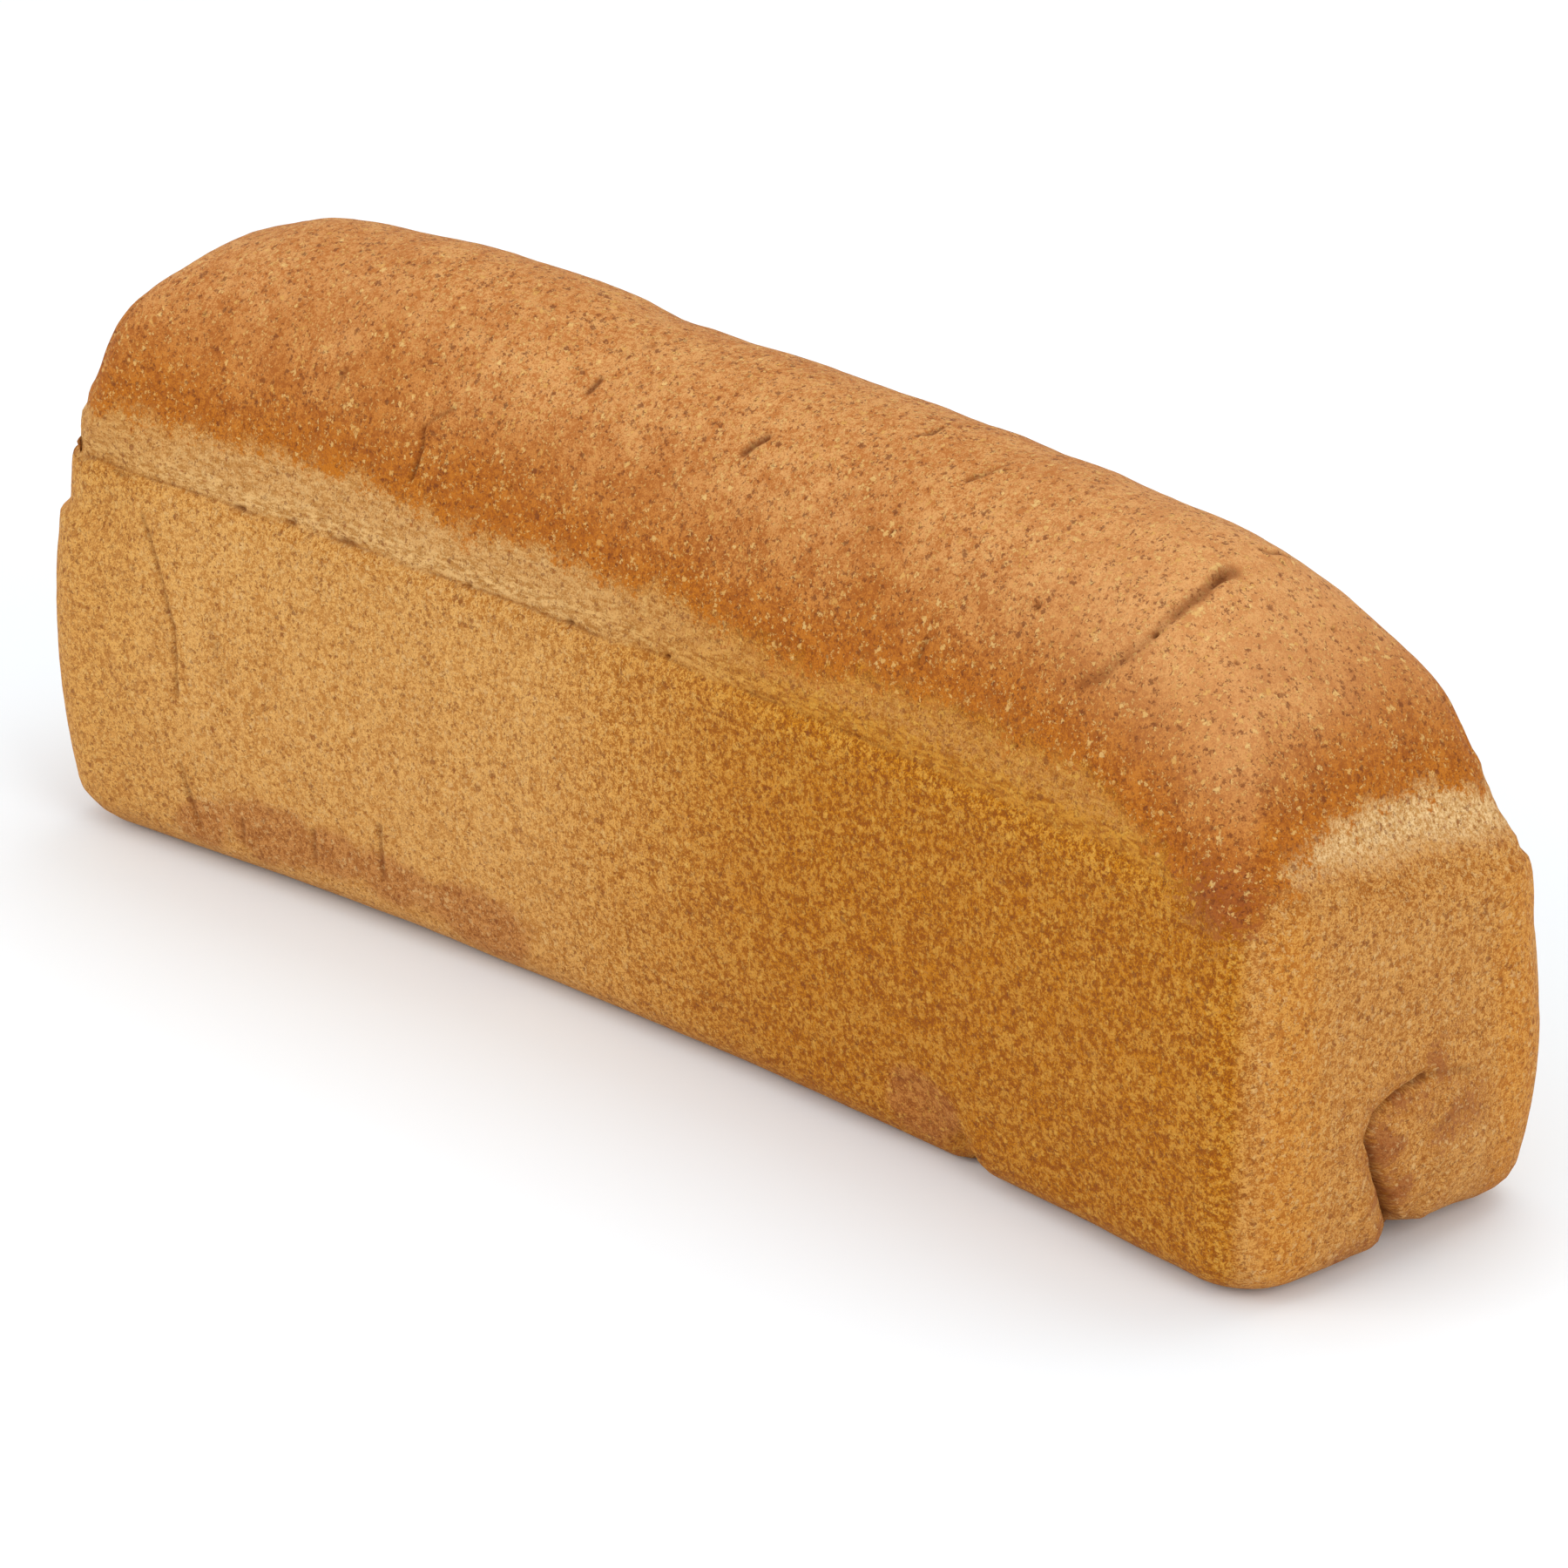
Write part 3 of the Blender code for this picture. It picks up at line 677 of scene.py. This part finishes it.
    # brown crown: darkest just above its edge and lighter towards the ridge, where the lighter colour is partly painted
    # sheen
    crown_n = N.mapr(N.math('ADD', N.math('MULTIPLY', mottle, .82), N.math('MULTIPLY', blotch, .18)), .43, .575)
    crown_low = N.mix(crown_n, lin(150, 74, 0), lin(196, 116, 22))
    crown_top_tan_and_sheen = N.mix(crown_n, lin(188, 115, 52), lin(223, 163, 98))
    up = N.mapr(N.math('ADD', rise, N.math('MULTIPLY_ADD', cloud, 3.0, -1.5)), .1, 4.2)
    crown = N.mix(up, crown_low, crown_top_tan_and_sheen)
    crown = N.mix(N.mapr(cloud, .38, .62, .22, 0.0), crown, lin(184, 108, 44))
    # painted sheen: the upper crown lighter and paler towards +X
    crown = N.mix(N.math('MULTIPLY', N.attr("painted_sheen"), .32), crown, lin(232, 172, 112))
    col = N.mix(brown, col, crown)

    # browned patches low on the wall, the foot, and reddish stains
    col = N.mix(N.mapr(N.math('ADD', patch, N.math('MULTIPLY_ADD', mottle, 1.4, -.7)), .15, .95, 0.0, .72), col, N.mix(fine, lin(148, 80, 28), lin(196, 128, 66)))
    col = N.mix(N.math('MULTIPLY', foot, .30), col, lin(176, 112, 58))
    ragged_stain = N.mapr(N.math('ADD', stain, N.math('MULTIPLY_ADD', crumb, 3.2, -1.6)), .30, .75, 0.0, .70)
    col = N.mix(ragged_stain, col, N.mix(grain, lin(122, 54, 20), lin(168, 92, 44)))

    # bran and crumbs
    k_pale = N.math('MAXIMUM', pale_big, N.math('MULTIPLY', pale_small, .85))
    k_dark = N.math('MAXIMUM', N.math('MULTIPLY', dark_big, .9), N.math('MULTIPLY', dark_small, .8))
    col = N.mix(N.math('MULTIPLY', N.math('MULTIPLY', k_pale, brown), .66), col, N.mix(big_c, lin(220, 162, 80), lin(240, 200, 126)))
    col = N.mix(N.math('MULTIPLY', N.math('MULTIPLY', k_dark, brown), .74), col, lin(108, 50, 20))
    col = N.mix(N.math('MULTIPLY', N.math('MULTIPLY', k_pale, bare), .46), col, N.mix(gold, lin(236, 192, 128), lin(234, 178, 78)))
    col = N.mix(N.math('MULTIPLY', N.math('MULTIPLY', k_dark, bare), .68), col, N.mix(small_c, lin(142, 68, 12), lin(118, 62, 28)))
    # the thin broken shadow of the rim line
    thin = N.mapr(N.math('ABSOLUTE', N.math('ADD', N.attr("line"), N.math('MULTIPLY_ADD', crumb, .16, -.08))), .015, .055, 1.0, 0.0)
    col = N.mix(N.math('MULTIPLY', N.math('MULTIPLY', thin, N.attr("drawn")), .42), col, lin(130, 68, 14))
    # painted shade inside creases, pits, slots, the rim line and the fold
    col = N.mix(N.math('MULTIPLY', painted_shade, .80), col, lin(104, 46, 6))

    N.put(bsdf.inputs["Base Color"], col)
    rough = N.mapr(grain, .3, .7, .62, .84, 'LINEAR')
    N.put(bsdf.inputs["Roughness"], rough)
    bsdf.inputs["Specular IOR Level"].default_value = .15

    # relief too fine for the mesh
    height = N.math('ADD', N.math('MULTIPLY', crumb, .55), N.math('MULTIPLY', grain, .38))
    height = N.math('ADD', height, N.math('MULTIPLY', N.math('MULTIPLY', fibres, shred), .45))
    height = N.math('ADD', height, N.math('MULTIPLY', N.math('MULTIPLY', streak, bare), .14))
    height = N.math('ADD', height, N.math('MULTIPLY', k_pale, .16))
    height = N.math('SUBTRACT', height, N.math('MULTIPLY', k_dark, .20))
    b = N.new("ShaderNodeBump")
    b.inputs["Strength"].default_value = .75
    b.inputs["Distance"].default_value = .0011
    N.put(b.inputs["Height"], height)
    N.put(bsdf.inputs["Normal"], b.outputs[0])
    return mat


# ------------------------------------------------------------ stage
def floor_and_light():
    bpy.ops.mesh.primitive_plane_add(size=9.0, location=(0, 0, LOAF_LO[2]))
    floor = bpy.context.object
    floor.name = "floor"
    mat = bpy.data.materials.new("white_floor")
    mat.use_nodes = True
    bsdf = mat.node_tree.nodes["Principled BSDF"]
    bsdf.inputs["Base Color"].default_value = (.905, .95, .985, 1)
    bsdf.inputs["Roughness"].default_value = .9
    bsdf.inputs["Specular IOR Level"].default_value = .1
    floor.data.materials.append(mat)

    world = bpy.data.worlds.new("studio")
    bpy.context.scene.world = world
    world.use_nodes = True
    bg = world.node_tree.nodes["Background"]
    bg.inputs["Color"].default_value = (1, 1, 1, 1)
    bg.inputs["Strength"].default_value = .80

    def area(name, place, size, energy, aim=(0, 0, .05), color=(1, 1, 1)):
        light = bpy.data.lights.new(name, 'AREA')
        light.shape = 'RECTANGLE'
        light.size, light.size_y = size
        light.energy = energy
        light.color = color
        ob = bpy.data.objects.new(name, light)
        ob.location = place
        ob.rotation_euler = (Vector(aim) - Vector(place)).to_track_quat('-Z', 'Y').to_euler()
        bpy.context.scene.collection.objects.link(ob)
    area("front_softbox", (-.9, -1.9, 1.3), (1.6, 1.2), 17)
    area("end_softbox", (1.9, -.5, 1.2), (1.2, 1.2), 13)
    area("top_softbox", (.0, .9, 2.0), (1.8, 1.2), 10)


def camera(shift):
    az, el = math.radians(42.86), math.radians(24.05)
    back = Vector((math.sin(az) * math.cos(el), -math.cos(az) * math.cos(el), math.sin(el)))
    right = Vector((math.cos(az), math.sin(az), 0))
    up = back.cross(right)
    place = back * (16.585 * WIDTH) + right * (.1386 * WIDTH) + up * (.5563 * WIDTH) + Vector(shift)
    cam = bpy.data.cameras.new("camera")
    ob = bpy.data.objects.new("camera", cam)
    ob.matrix_world = Matrix((right, up, back)).transposed().to_4x4()
    ob.location = place
    cam.sensor_fit = 'HORIZONTAL'
    cam.sensor_width = 36
    cam.lens = 140
    cam.clip_start, cam.clip_end = .05, 50
    bpy.context.scene.collection.objects.link(ob)
    bpy.context.scene.camera = ob


loaf, SHIFT, Q, NORMALS, MARKS = build_loaf()
loaf.data.materials.append(crust_material())
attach(loaf, "root")
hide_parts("loaf")
floor_and_light()
camera(SHIFT)

scene = bpy.context.scene
scene.view_settings.view_transform = 'Standard'
scene.view_settings.look = 'None'
scene.view_settings.exposure = 0
scene.view_settings.gamma = 1
